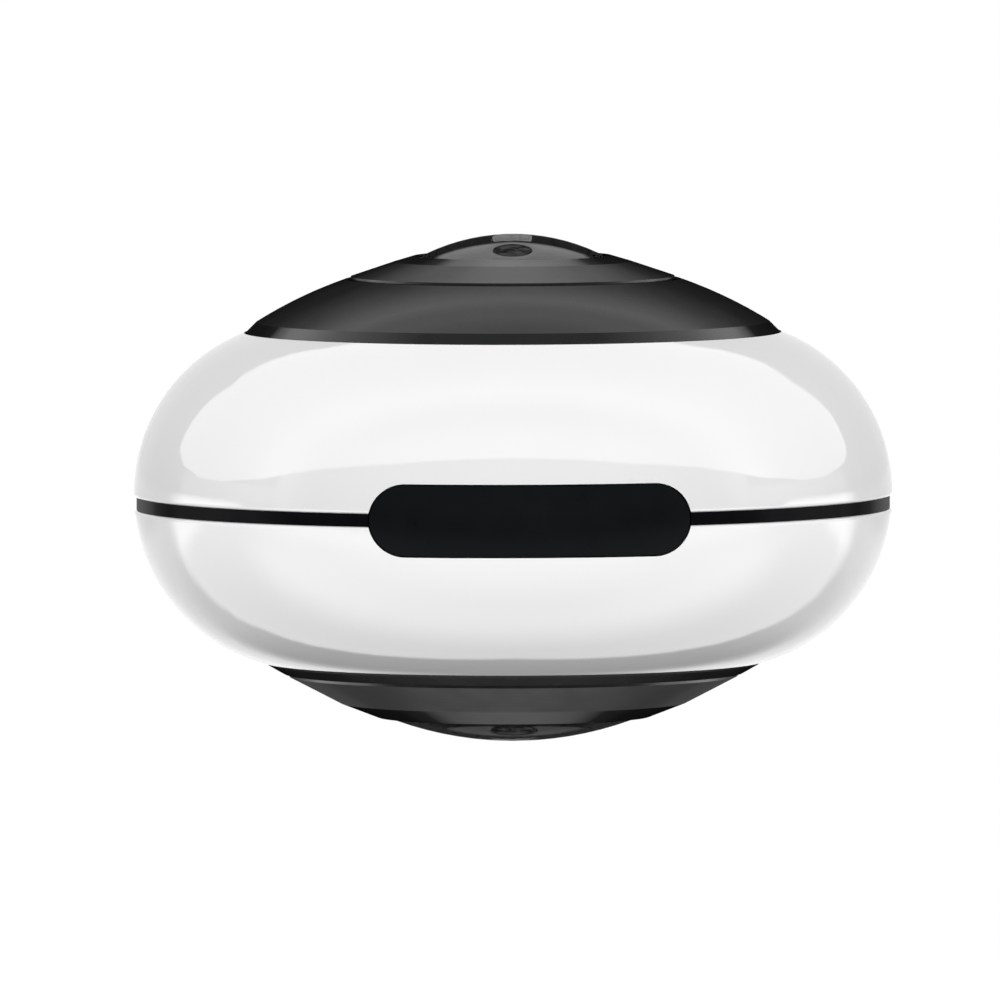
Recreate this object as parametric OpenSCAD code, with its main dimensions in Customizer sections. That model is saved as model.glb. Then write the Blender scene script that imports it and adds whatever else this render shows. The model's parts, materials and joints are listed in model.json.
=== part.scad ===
// 360 degree camera: two fisheye lenses back to back in a rounded body of two shells,
// with a fixed USB-C plug at the back. All sizes are in millimetres.
// Z is the common optical axis, the plug points along +Y and the bare front plate faces -Y.
// The origin is the middle of the plug's seat, the flat face that meets the phone.
// A height is counted from the waist plane outwards, on either side of the body.

/* [Body] */
// Diameter of the body at its waist
body_d = 42.7; // [42:0.1:44]
// Radius of the shells' rounded outer profile
shell_round = 9.75; // [9.5:0.05:10]
// Height of that profile's centre above the waist plane
shell_rise = 0.45; // [0.3:0.05:0.6]
// Wall of the shells
wall = 1.2; // [1:0.1:1.4]
// Thickness of the shells' inner flanges
flange_t = 1; // [0.8:0.1:1.2]
// Radius of the opening inside the flanges
flange_in_r = 8.4; // [8.2:0.1:8.6]
// Radius of the rounded edges along the waist groove
lip_round = 0.22; // [0.1:0.02:0.3]

/* [Middle frame] */
// Height of the waist band between the shells
band_h = 0.72; // [0.5:0.02:0.9]
// Depth of the band below the shells' surface
band_recess = 0.18; // [0.1:0.02:0.3]
// Height of the frame's ring inside the shells
ring_h = 5.6; // [5.2:0.1:6]
// Thickness of the frame's ring
ring_t = 1.2; // [1:0.1:1.4]
// Gap between the frame's ring and the shells
ring_clear = 0.15; // [0.1:0.05:0.3]
// Thickness of the web that carries the main board
web_t = 0.8; // [0.6:0.1:1]
// Radius of the opening in the web
web_in_r = 8.6; // [8:0.1:9]

/* [Front plate] */
// Width of the front plate
plate_w = 17.9; // [15:0.1:20]
// Height of the front plate, with fully rounded ends
plate_h = 3.95; // [3.6:0.05:4.3]
// Depth of the plate below the shells' surface
plate_recess = 0.08; // [0.02:0.02:0.2]
// Gap round the plate and round the plug's collar
plate_gap = 0.08; // [0.04:0.02:0.15]
// Distance between the plate's two pegs
peg_spacing = 12; // [9:0.5:13]
// Diameter of the pegs
peg_d = 1.2; // [0.8:0.1:1.6]

/* [Covers] */
// Radius of the upper shell's opening for its cover
upper_opening_r = 15.1; // [15:0.1:15.6]
// Radius of the lower shell's opening for its cover
lower_opening_r = 14; // [13.8:0.1:14.6]
// Rise of the upper cover from its rim to its groove
upper_cover_rise = 3.04; // [2.9:0.02:3.2]
// Rise of the lower cover from its rim to its groove
lower_cover_rise = 0.68; // [0.6:0.02:0.8]
// Width of the upper cover from the opening to its groove
upper_cover_w = 5.8; // [5.6:0.1:6.2]
// Width of the lower cover from the opening to its groove
lower_cover_w = 1.2; // [1:0.05:1.4]
// Bevel of the upper cover's rim
upper_bevel = 0.6; // [0.3:0.05:0.8]
// Bevel of the lower cover's rim
lower_bevel = 0.12; // [0.06:0.02:0.3]
// Radius of the covers' convex crown
crown_r = 25; // [22:1:40]
// Depth of the covers' edge inside the shells
cover_edge = 0.8; // [0.6:0.1:1]
// Thickness of the covers
cover_t = 0.85; // [0.7:0.05:0.9]
// Gap round the covers in the shells
cover_clear = 0.08; // [0.04:0.02:0.15]
// Width of the ledge that carries the trim ring
ledge_w = 1.8; // [1.5:0.1:2]
// Thickness of the adhesive rings under the covers
tape_t = 0.2; // [0.1:0.05:0.3]
// Width of the adhesive rings
tape_w = 0.92; // [0.8:0.02:1]

/* [Trim rings] */
// Rise of the upper trim ring
upper_trim_rise = 1.15; // [1:0.01:1.3]
// Rise of the lower trim ring
lower_trim_rise = 2.29; // [2.2:0.01:2.4]
// Width of the groove between cover and trim ring
groove_w = 0.2; // [0.1:0.02:0.3]
// Bevel of the covers' edge along that groove
groove_bevel = 0.14; // [0.08:0.02:0.2]
// Height of the trim rings' outer edge above the covers
trim_proud = 0.12; // [0.05:0.01:0.2]
// Width of the upper trim ring's inner facet
upper_facet_w = 1.1; // [0.9:0.05:1.3]
// Width of the lower trim ring's inner facet
lower_facet_w = 2.05; // [1.8:0.05:2.3]
// Height of the upper trim ring's crease above a straight cone
upper_crown = 0.03; // [0.01:0.01:0.06]
// Height of the lower trim ring's crease above a straight cone
lower_crown = 0.16; // [0.1:0.01:0.2]
// Thickness of the trim rings
trim_t = 0.5; // [0.4:0.05:0.6]
// Glue gap between the trim rings and their ledges
glue_gap = 0.05; // [0.02:0.01:0.1]

/* [Front lenses] */
// Radius of the upper front lens
upper_lens_r = 5.3; // [5.1:0.05:5.6]
// Radius of the lower front lens
lower_lens_r = 7.4; // [7.2:0.05:7.6]
// Height of the upper front lens's dome
upper_dome_h = 1.32; // [1.2:0.02:1.5]
// Height of the lower front lens's dome
lower_dome_h = 1.46; // [1.3:0.02:1.6]
// Gap between the front lenses and the trim rings
lens_gap = 0.25; // [0.15:0.01:0.3]
// Depth of the dome's edge below the trim ring's inner edge
lens_drop = 0.12; // [0.05:0.01:0.2]
// Thickness of the front lenses at their edge
lens_edge = 1.3; // [1.2:0.05:1.4]
// Thickness of the front lenses at their middle
lens_middle = 0.9; // [0.8:0.05:1]
// Radius of the hollow in the back of the front lenses
hollow_r = 3.6; // [3.4:0.05:3.7]

/* [Lens barrels] */
// Radius of the barrels' lower part, which turns in the holder
neck_r = 5; // [4.8:0.05:5.2]
// Wall of the barrels' head round the front lens
head_wall = 0.6; // [0.5:0.05:0.7]
// Depth of the barrels' head below the front lens
head_depth = 2.6; // [2:0.1:3]
// Thickness of the seal between barrel and trim ring
seal_t = 0.25; // [0.2:0.05:0.3]
// Radius of the second lens
second_lens_r = 4; // [3.8:0.05:4.2]
// Thickness of the second lens at its edge
second_lens_edge = 0.95; // [0.8:0.05:1.1]
// Height of the second lens's cap
second_cap = 0.8; // [0.6:0.05:0.85]
// Radius of the third and rear lenses and of the aperture stop
inner_lens_r = 3.2; // [3:0.05:3.4]
// Thickness of the third lens
third_lens_t = 1.8; // [1.4:0.1:2]
// Depth of the third lens's dish
third_dish = 0.6; // [0.4:0.05:0.8]
// Thickness of the rear lens
rear_lens_t = 1.7; // [1.4:0.1:2]
// Width of the flat land round the third and rear lenses' curved faces
lens_land = 0.6; // [0.5:0.05:0.7]
// Height of the rear lens's cap
rear_cap = 0.5; // [0.4:0.05:0.6]
// Radius of the hole in the aperture stop
stop_r = 0.75; // [0.5:0.05:1]
// Thickness of the aperture stop's wall
stop_t = 0.3; // [0.2:0.05:0.4]
// Thickness of the barrels' foot behind the rear lens
foot_t = 0.5; // [0.4:0.05:0.6]
// Gap under the barrels' foot, and between neighbouring lenses
foot_gap = 0.1; // [0.05:0.01:0.15]
// Radial gap round each lens
optic_clear = 0.03; // [0.02:0.01:0.06]

/* [Lens holders] */
// Wall of the holders' tube
holder_wall = 1.25; // [1.1:0.05:1.4]
// Thickness of the holders' square base
holder_base_t = 1.2; // [1:0.1:1.4]
// Height of the chamber over the image sensor
chamber_h = 1; // [0.95:0.05:1.2]
// Radius of that chamber
chamber_r = 5.4; // [5.35:0.05:5.7]
// Thickness of the shelf between chamber and barrel
shelf_t = 0.5; // [0.4:0.1:0.7]
// Radius of the window in the shelf and in the barrel's foot
window_r = 2.4; // [2:0.1:2.6]
// Thickness of the holders' lugs
lug_t = 1; // [0.8:0.1:1.2]
// Radius of the lugs
lug_r = 1.5; // [1.3:0.1:1.6]
// Distance of the lugs' screws from the optical axis
lug_screw_r = 9.3; // [9.2:0.1:9.5]

/* [Sensors] */
// Height of the sensor boards above the waist plane
sensor_board_h = 2.2; // [2.1:0.05:2.5]
// Side of the sensor boards and of the holders' base
sensor_board_w = 13; // [12.8:0.1:13.4]
// Thickness of the sensor boards
sensor_board_t = 0.6; // [0.5:0.1:0.8]
// Distance of the sensor boards' screws from the boards' edges
sensor_screw_edge = 1.1; // [1:0.05:1.2]
// Side of the image sensors
sensor_w = 7.5; // [7:0.1:7.5]
// Thickness of the image sensors
sensor_t = 0.6; // [0.5:0.05:0.6]
// Side of the infrared filters
filter_w = 7; // [6:0.1:7.2]
// Thickness of the infrared filters
filter_t = 0.3; // [0.2:0.05:0.3]

/* [Main board] */
// Thickness of the main board
board_t = 0.7; // [0.6:0.05:0.72]
// Gap between the main board's edge and the frame
board_clear = 0.3; // [0.2:0.05:0.5]
// Distance of the main board's screws from its edge
board_screw_edge = 1.65; // [1.4:0.05:2]
// Side of the image processor
processor_w = 8; // [7:0.1:8.6]
// Thickness of the image processor
processor_t = 0.9; // [0.7:0.05:0.9]
// Thickness of the thermal pad on it
pad_t = 0.2; // [0.1:0.02:0.3]
// Side of the shield can over it
can_w = 9.5; // [9:0.1:9.5]
// Wall of the shield can
can_wall = 0.2; // [0.15:0.05:0.25]
// Side of the memory chip
memory_w = 7; // [5:0.1:9]
// Thickness of the memory chip
memory_t = 0.8; // [0.6:0.05:1]
// Side of the power chips
power_w = 3; // [2:0.1:3.4]
// Thickness of the power chips
power_t = 0.7; // [0.5:0.05:1]
// Gap between the power chips and the heads of the board screws
power_gap = 0.75; // [0.5:0.05:1.5]
// Side of the motion sensor
motion_w = 2.6; // [2:0.1:3]
// Thickness of the motion sensor
motion_t = 0.8; // [0.6:0.05:1]
// Distance of the motion sensor from the board's middle
motion_at = 8.6; // [7.5:0.1:9.5]
// Width of the flex connectors
connector_w = 6; // [5:0.1:6.5]
// Depth of the flex connectors
connector_d = 2.4; // [2:0.1:2.8]
// Thickness of the flex connectors
connector_t = 0.8; // [0.6:0.05:1]
// Gap between the flex connectors and the head of the board screw beside them
connector_gap = 2.05; // [1.5:0.05:2.5]
// Width of the flex cables
flex_w = 5; // [4:0.1:5.6]
// Thickness of the flex cables
flex_t = 0.15; // [0.1:0.01:0.2]
// Overlap of the flex cables on the sensor boards
flex_overlap = 1; // [0.6:0.1:2]

/* [Plug] */
// Width of the plug's steel shell
plug_w = 8.25; // [8.2:0.01:8.3]
// Height of the plug's steel shell
plug_h = 2.4; // [2.36:0.01:2.44]
// Length of the plug in front of its seat
plug_reach = 6.65; // [6.2:0.05:7]
// Wall of the plug's steel shell
plug_wall = 0.3; // [0.25:0.05:0.35]
// Depth of the plug behind its seat
plug_root = 6.6; // [6:0.1:7]
// Depth of the insulator behind the plug's steel shell
insulator_root = 0.8; // [0.6:0.1:1]
// Recess of the insulator in the plug's mouth
insulator_recess = 0.5; // [0.3:0.05:0.8]
// Width of the insulator's slot
slot_w = 6.9; // [6.8:0.05:7]
// Height of the insulator's slot
slot_h = 1; // [0.98:0.01:1.1]
// Depth of the insulator's slot
slot_depth = 5.2; // [4.8:0.1:5.6]
// Contacts in each of the two rows
contacts = 12; // [8:1:12]
// Distance between neighbouring contacts
contact_pitch = 0.5; // [0.45:0.01:0.5]
// Width of each contact
contact_w = 0.25; // [0.2:0.01:0.3]
// Thickness of each contact
contact_t = 0.12; // [0.08:0.01:0.12]
// Length of the contacts' tails on the main board
tail = 1.3; // [1:0.1:1.6]
// Width of the plug's collar
collar_w = 12.4; // [11.5:0.1:13]
// Height of the plug's collar
collar_h = 4.1; // [3.8:0.1:4.3]
// Height of the collar's flat face above the waist
collar_proud = 0.45; // [0.2:0.05:0.8]
// Extra width of the collar's inner flange on each side
collar_flange = 0.9; // [0.6:0.1:1.2]
// Thickness of the collar's inner flange
collar_flange_t = 1; // [0.8:0.1:1.2]
// Gap between plug and collar
plug_clear = 0.04; // [0.02:0.01:0.06]

/* [Screws] */
// Radius of the shell screws
shell_screw_r = 0.8; // [0.7:0.05:0.85]
// Radius of the shell screws' heads
shell_head_r = 1.25; // [1.1:0.05:1.3]
// Height of the shell screws' heads
shell_head_h = 0.5; // [0.4:0.05:0.55]
// Radius of the pillars round the shell screws
pillar_r = 1.5; // [1.4:0.05:1.6]
// Length of the shell screws in the upper shell
shell_screw_grip = 4.5; // [3.5:0.1:5.5]
// Radius of the small screws
small_screw_r = 0.6; // [0.5:0.05:0.65]
// Radius of the small screws' heads
small_head_r = 0.95; // [0.8:0.05:1]
// Height of the small screws' heads
small_head_h = 0.45; // [0.3:0.05:0.45]
// Radial gap between a screw and its hole
screw_clear = 0.06; // [0.04:0.01:0.1]

/* [Fits] */
// Gap between parts that only pass each other inside the body
inner_gap = 0.3; // [0.2:0.05:0.4]

/* [Hidden] */
$fn = 96;
// The two sides of the waist plane
upper = 1;
lower = -1;
sides = [upper, lower];
// A length past every surface, for cuts that go right through
past = body_d;
// Overlap by which the pieces of one union run into each other
bite = 0.3;

// Body
body_r = body_d / 2;
profile_r = body_r - shell_round;
seat_y = body_r + collar_proud;
plug_tip_y = seat_y + plug_reach;
plug_root_y = seat_y - plug_root;
insulator_end_y = plug_root_y - insulator_root;
ring_out_r = profile_r + sqrt(pow(shell_round - wall, 2) - pow(ring_h / 2 + shell_rise, 2)) - ring_clear;
ring_in_r = ring_out_r - ring_t;
collar_flange_w = collar_w + 2 * collar_flange;
collar_flange_y = sqrt(pow(ring_in_r, 2) - pow(collar_flange_w / 2, 2)) - plate_gap;
collar_end_y = collar_flange_y - collar_flange_t;
board_r = ring_in_r - board_clear;
board_screw_at = board_r - board_screw_edge;
power_at = board_screw_at - small_head_r - power_gap - power_w / 2;
connector_at = board_screw_at - small_head_r - connector_gap - connector_d / 2;
sensor_screw_at = sensor_board_w / 2 - sensor_screw_edge;
web_low = board_t / 2 + web_t;
hole_r = small_screw_r + screw_clear;
pillar_hole_r = shell_screw_r + screw_clear;
shell_screw_at = tape_in_r(lower) - inner_gap / 2 - shell_head_r;
pillar_angles = [45, 135, 225, 315];
lug_angles = [0, 90, 180, 270];
board_screw_angles = [0, 180, 270];

// Heights of the covers, trim rings and lenses on one side
function pick(side, high, low) = side == upper ? high : low;
function opening_r(side) = pick(side, upper_opening_r, lower_opening_r);
function step_r(side) = opening_r(side) - pick(side, upper_cover_w, lower_cover_w);
function tape_in_r(side) = opening_r(side) - cover_clear - tape_w;
function bevel(side) = pick(side, upper_bevel, lower_bevel);
function lens_r(side) = pick(side, upper_lens_r, lower_lens_r);
function dome_h(side) = pick(side, upper_dome_h, lower_dome_h);
function trim_rise(side) = pick(side, upper_trim_rise, lower_trim_rise);
function rim_h(side) =
    side * shell_rise + sqrt(pow(shell_round, 2) - pow(opening_r(side) - profile_r, 2));
function flange_top(side) = rim_h(side) - cover_edge - tape_t;
function flange_under(side) = flange_top(side) - flange_t;
function step_h(side) = rim_h(side) + pick(side, upper_cover_rise, lower_cover_rise);
function trim_out_r(side) = step_r(side) - groove_w;
function trim_in_r(side) = lens_r(side) + lens_gap;
function trim_out_h(side) = step_h(side) + trim_proud;
function trim_in_h(side) = trim_out_h(side) + trim_rise(side);
function trim_slope(side) = trim_rise(side) / (trim_out_r(side) - trim_in_r(side));
function trim_under(side, r) = trim_out_h(side) + (trim_out_r(side) - r) * trim_slope(side) - trim_t;
function lens_h(side) = trim_in_h(side) - lens_drop;
function apex_h(side) = lens_h(side) + dome_h(side);
function lens_seat_h(side) = lens_h(side) - lens_edge;
function head_r(side) = lens_r(side) + head_wall;
function head_top(side) = trim_under(side, head_r(side)) - seal_t;

// Heights inside the lenses, the same on both sides up to the third lens
holder_h = sensor_board_h + sensor_board_t;
shelf_h = holder_h + chamber_h;
foot_h = shelf_h + shelf_t + foot_gap;
rear_lens_h = foot_h + foot_t;
stop_h = rear_lens_h + rear_lens_t;
function second_lens_h(side) = lens_seat_h(side) - second_lens_edge;
function third_lens_h(side) = second_lens_h(side) - third_lens_t;

// Radius of a ball whose cap has the given rim radius and height
function cap_ball(rim, high) = (rim * rim + high * high) / (2 * high);
// Centre, on the inner side, of the circle of radius r through p and then q, anticlockwise
function arc_centre(p, q, r) =
    let (d = q - p, half = norm(d) / 2)
    (p + q) / 2 + [-d[1], d[0]] / norm(d) * sqrt(r * r - half * half);

// Puts the optical axis at its distance in front of the plug's seat
module in_frame() {
    translate([0, -seat_y, 0]) children();
}

// Turns a piece drawn at heights above the waist plane to its own side
module facing(side) {
    if (side == upper) {
        children();
    } else {
        mirror([0, 0, 1]) children();
    }
}

// Copies round the optical axis
module ring_of(angles, r) {
    for (a = angles) {
        rotate(a) translate([r, 0, 0]) children();
    }
}

module between(low, high, r) {
    translate([0, 0, low]) cylinder(r = r, h = high - low);
}

module slab(low, size) {
    translate([-size[0] / 2, -size[1] / 2, low]) cube(size);
}

// Rounded bar outline, a rectangle with half-round ends
module bar_outline(w, h) {
    square([w - h, h], center = true);
    for (s = [-1, 1]) {
        translate([s * (w - h) / 2, 0]) circle(d = h);
    }
}

// Bar of that outline along Y
module bar(w, h, from_y, to_y) {
    translate([0, to_y, 0]) rotate([90, 0, 0]) linear_extrude(to_y - from_y) bar_outline(w, h);
}

// Ring-shaped section as a revolve
module turned(low, high, in_r, out_r) {
    rotate_extrude() translate([in_r, low]) square([out_r - in_r, high - low]);
}

// Lens with a domed top: a disc whose cap rises over the given rim
module domed_disc(low, r, edge, rim, cap) {
    ball = cap_ball(rim, cap);
    between(low, low + edge, r);
    intersection() {
        translate([0, 0, low + edge + cap - ball]) sphere(r = ball);
        between(low + edge / 2, low + edge + cap, rim);
    }
}

// Screw with its head on top of the given height and its shank below
module screw(head_at, head_r, head_h, r, length) {
    socket_share = 0.7;
    difference() {
        union() {
            between(head_at, head_at + head_h, head_r);
            between(head_at - length, head_at + bite / 2, r);
        }
        translate([0, 0, head_at + head_h / 2]) cylinder(r = r * socket_share, h = head_h, $fn = 6);
    }
}

// Outline of the shells' wall at one side, at a depth below its outer surface
module body_disc(side, depth) {
    translate([profile_r, side * shell_rise]) circle(r = shell_round - depth);
}

// Round of the shell's edge along the waist groove, as the corner to take away.
// Its last tangent runs out through the shell's surface at a clear angle.
module lip_corner(side) {
    edge_h = band_h / 2;
    steps = 5;
    last = -15;
    rise = edge_h + lip_round - side * shell_rise;
    middle = [profile_r + sqrt(pow(shell_round - lip_round, 2) - pow(rise, 2)), edge_h + lip_round];
    arc = [
        for (i = [0 : steps]) let (a = -90 + (90 + last) * i / steps) middle + lip_round * [cos(a), sin(a)]
    ];
    away = arc[steps] + 2 * lip_round * [-sin(last), cos(last)];
    polygon(concat(arc, [away, [away[0], edge_h - lip_round], [middle[0], edge_h - lip_round]]));
}

module shell_section(side) {
    difference() {
        intersection() {
            body_disc(side, 0);
            translate([flange_in_r, band_h / 2]) square(past);
        }
        intersection() {
            union() {
                body_disc(side, wall);
                square([profile_r, past]);
            }
            square([past, flange_under(side)]);
        }
        translate([0, flange_top(side)]) square([opening_r(side), past]);
        lip_corner(side);
    }
}

// One half shell with its flange and the four pillars of the shell screws
module shell(side) {
    pillar_foot = pick(side, board_t / 2, web_low);
    pillar_end = pick(side, board_t / 2 + shell_screw_grip + bite, past);
    difference() {
        union() {
            facing(side) rotate_extrude() shell_section(side);
            facing(side) ring_of(pillar_angles, shell_screw_at) {
                between(pillar_foot, flange_under(side) + bite, pillar_r);
            }
        }
        facing(side) ring_of(pillar_angles, shell_screw_at) between(0, pillar_end, pillar_hole_r);
        facing(side) ring_of(lug_angles, lug_screw_r) between(0, past, hole_r);
        bar(plate_w + 2 * plate_gap, plate_h + 2 * plate_gap, -past, -profile_r);
        bar(collar_w + 2 * plate_gap, collar_h + 2 * plate_gap, profile_r, past);
    }
}

module upper_shell() {
    color("white") shell(upper);
}

module lower_shell() {
    color("white") shell(lower);
}

// Web of the frame, open under the plug's tails, the collar's flange and the lower flex connector
module board_web() {
    plug_notch_y = insulator_end_y - tail - inner_gap;
    plug_notch = [plug_w + 2 * inner_gap, past, past];
    flange_notch = [collar_flange_w + 2 * inner_gap, past, past];
    connector_notch = [connector_w + 2 * inner_gap, connector_d + 2 * inner_gap, past];
    difference() {
        turned(-web_low, -board_t / 2, web_in_r, ring_in_r + bite);
        translate([0, plug_notch_y + past / 2, 0]) slab(-past / 2, plug_notch);
        translate([0, collar_end_y - inner_gap + past / 2, 0]) slab(-past / 2, flange_notch);
        translate([0, -connector_at, 0]) slab(-past / 2, connector_notch);
    }
}

// Frame between the shells: the ring that centres them, the waist band and the board's web
module middle_frame() {
    color([0.06, 0.06, 0.07]) difference() {
        union() {
            difference() {
                turned(-band_h / 2, band_h / 2, ring_out_r - bite, body_r - band_recess);
                bar(plate_w + 2 * plate_gap, plate_h + 2 * plate_gap, -past, -profile_r);
            }
            turned(-ring_h / 2, ring_h / 2, ring_in_r, ring_out_r);
            board_web();
        }
        bar(collar_w + 2 * plate_gap, collar_h + 2 * plate_gap, profile_r, past);
        ring_of(pillar_angles, shell_screw_at) between(-past, past, pillar_hole_r);
        ring_of(board_screw_angles, board_screw_at) between(-past, past, hole_r);
        for (s = [-1, 1]) {
            translate([s * peg_spacing / 2, -profile_r, 0]) rotate([90, 0, 0]) {
                cylinder(d = peg_d + 2 * plate_gap, h = past);
            }
        }
    }
}

// Bare plate in the front, curved as the shells are, with two pegs into the frame
module front_plate() {
    peg_end = sqrt(pow(ring_in_r, 2) - pow(peg_spacing / 2, 2));
    peg_start = sqrt(pow(ring_out_r, 2) - pow(peg_spacing / 2, 2)) + bite;
    color([0.08, 0.08, 0.09]) {
        intersection() {
            rotate_extrude() intersection() {
                body_disc(upper, plate_recess);
                translate([ring_out_r + glue_gap, -past / 2]) square(past);
            }
            bar(plate_w, plate_h, -past, 0);
        }
        for (s = [-1, 1]) {
            translate([s * peg_spacing / 2, -peg_end, 0]) rotate([90, 0, 0]) {
                cylinder(d = peg_d, h = peg_start - peg_end);
            }
        }
    }
}

// Collar that carries the plug, with the flat seat outside and a flange behind the frame's ring
module plug_collar() {
    color([0.08, 0.08, 0.09]) difference() {
        union() {
            bar(collar_w, collar_h, collar_end_y, seat_y);
            bar(collar_flange_w, collar_h, collar_end_y, collar_flange_y);
        }
        bar(plug_w + 2 * plug_clear, plug_h + 2 * plug_clear, 0, past);
    }
}

module usb_plug_shell() {
    color("silver") difference() {
        bar(plug_w, plug_h, plug_root_y, plug_tip_y);
        bar(plug_w - 2 * plug_wall, plug_h - 2 * plug_wall, 0, past);
    }
}

// One row of contacts above the slot's middle plane
module contact_row() {
    for (i = [0 : contacts - 1]) {
        translate([(i - (contacts - 1) / 2) * contact_pitch - contact_w / 2, 0, slot_h / 2 - contact_t]) {
            translate([0, insulator_end_y - tail, 0]) {
                cube([contact_w, plug_tip_y - 2 * insulator_recess - insulator_end_y + tail, contact_t]);
            }
        }
    }
}

module usb_plug_contacts() {
    color("gold") {
        contact_row();
        mirror([0, 0, 1]) contact_row();
    }
}

module usb_plug_insulator() {
    inner = 2 * (plug_wall + plug_clear);
    mouth_y = plug_tip_y - insulator_recess;
    color([0.12, 0.12, 0.13]) difference() {
        bar(plug_w - inner, plug_h - inner, insulator_end_y, mouth_y);
        translate([-slot_w / 2, mouth_y - slot_depth, -slot_h / 2]) cube([slot_w, past, slot_h]);
        contact_row();
        mirror([0, 0, 1]) contact_row();
    }
}

// Section of a cover: edge in the shell, bevel, convex crown, bevelled groove wall and the trim ring's ledge
module cover_section(side) {
    out_r = opening_r(side) - cover_clear;
    foot = flange_top(side) + tape_t;
    bevel_end = [out_r - bevel(side), rim_h(side) + bevel(side)];
    groove = [step_r(side), step_h(side)];
    centre = arc_centre(bevel_end, groove, crown_r);
    over = (bevel_end + groove) / 2 + [1, 1];
    ledge_r = step_r(side) - ledge_w;
    slope = (groove[1] - bevel_end[1]) / (bevel_end[0] - groove[0]);
    under_h = bevel_end[1] + (bevel_end[0] - tape_in_r(side)) * slope - cover_t;
    intersection() {
        polygon([
            [out_r, foot],
            [out_r, rim_h(side)],
            bevel_end,
            over,
            groove + [groove_bevel, 0],
            groove - [0, groove_bevel],
            [step_r(side), trim_under(side, step_r(side)) - glue_gap],
            [ledge_r, trim_under(side, ledge_r) - glue_gap],
            [ledge_r, trim_under(side, ledge_r) - glue_gap - cover_t],
            [tape_in_r(side), under_h],
            [tape_in_r(side), foot]
        ]);
        translate(centre) circle(r = crown_r, $fn = 720);
    }
}

module cover(side) {
    color([0.13, 0.13, 0.14]) facing(side) rotate_extrude() cover_section(side);
}

module upper_cover() {
    cover(upper);
}

module lower_cover() {
    cover(lower);
}

module cover_tape(side) {
    color([0.25, 0.25, 0.25]) facing(side) {
        turned(flange_top(side), flange_top(side) + tape_t, tape_in_r(side), opening_r(side) - cover_clear);
    }
}

module upper_cover_tape() {
    cover_tape(upper);
}

module lower_cover_tape() {
    cover_tape(lower);
}

// Trim ring: two cones that meet at a soft crease
module trim_ring(side) {
    crease_r = trim_in_r(side) + pick(side, upper_facet_w, lower_facet_w);
    crown = pick(side, upper_crown, lower_crown);
    color([0.16, 0.16, 0.17]) facing(side) rotate_extrude() polygon([
        [trim_out_r(side), trim_under(side, trim_out_r(side))],
        [trim_out_r(side), trim_out_h(side)],
        [crease_r, trim_under(side, crease_r) + trim_t + crown],
        [trim_in_r(side), trim_in_h(side)],
        [trim_in_r(side), trim_under(side, trim_in_r(side))]
    ]);
}

module upper_trim_ring() {
    trim_ring(upper);
}

module lower_trim_ring() {
    trim_ring(lower);
}

module barrel_seal(side) {
    color([0.05, 0.05, 0.05]) facing(side) {
        turned(head_top(side), head_top(side) + seal_t, lens_r(side) + optic_clear, head_r(side));
    }
}

module upper_barrel_seal() {
    barrel_seal(upper);
}

module lower_barrel_seal() {
    barrel_seal(lower);
}

// Front lens: domed outside, hollowed at the back
module front_lens(side) {
    seat = lens_seat_h(side);
    hollow = apex_h(side) - lens_middle - seat;
    hollow_ball = cap_ball(hollow_r, hollow);
    dome_ball = cap_ball(lens_r(side), dome_h(side));
    color([0.2, 0.25, 0.3, 0.5]) facing(side) difference() {
        intersection() {
            translate([0, 0, apex_h(side) - dome_ball]) sphere(r = dome_ball);
            between(seat, apex_h(side) + bite, lens_r(side));
        }
        translate([0, 0, seat + hollow - hollow_ball]) sphere(r = hollow_ball);
    }
}

module upper_front_lens() {
    front_lens(upper);
}

module lower_front_lens() {
    front_lens(lower);
}

// Second lens, whose cap rises into the front lens's hollow
module second_lens(side) {
    cap_rim = hollow_r - inner_gap;
    edge = second_lens_edge - foot_gap;
    color([0.3, 0.4, 0.45, 0.5]) facing(side) {
        domed_disc(second_lens_h(side), second_lens_r, edge, cap_rim, second_cap);
    }
}

module upper_second_lens() {
    second_lens(upper);
}

module lower_second_lens() {
    second_lens(lower);
}

// Third lens, hollowed on its front so that it clears the second lens
module third_lens(side) {
    dish_rim = inner_lens_r - lens_land;
    dish_ball = cap_ball(dish_rim, third_dish);
    color([0.3, 0.4, 0.45, 0.5]) facing(side) difference() {
        between(third_lens_h(side), second_lens_h(side) - foot_gap, inner_lens_r);
        translate([0, 0, second_lens_h(side) - foot_gap - third_dish + dish_ball]) sphere(r = dish_ball);
    }
}

module upper_third_lens() {
    third_lens(upper);
}

module lower_third_lens() {
    third_lens(lower);
}

module rear_lens(side) {
    color([0.3, 0.4, 0.45, 0.5]) facing(side) {
        domed_disc(rear_lens_h, inner_lens_r, rear_lens_t - rear_cap, inner_lens_r - lens_land, rear_cap);
    }
}

module upper_rear_lens() {
    rear_lens(upper);
}

module lower_rear_lens() {
    rear_lens(lower);
}

// Aperture stop: a spacer tube between rear and third lens with a holed wall across its middle
module aperture_stop(side) {
    wall_h = (stop_h + third_lens_h(side)) / 2;
    tube_in_r = inner_lens_r - lens_land + optic_clear;
    color([0.04, 0.04, 0.04]) facing(side) {
        turned(stop_h - rear_cap, third_lens_h(side), tube_in_r, inner_lens_r);
        turned(wall_h - stop_t / 2, wall_h + stop_t / 2, stop_r, tube_in_r + bite);
    }
}

module upper_aperture_stop() {
    aperture_stop(upper);
}

module lower_aperture_stop() {
    aperture_stop(lower);
}

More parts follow.
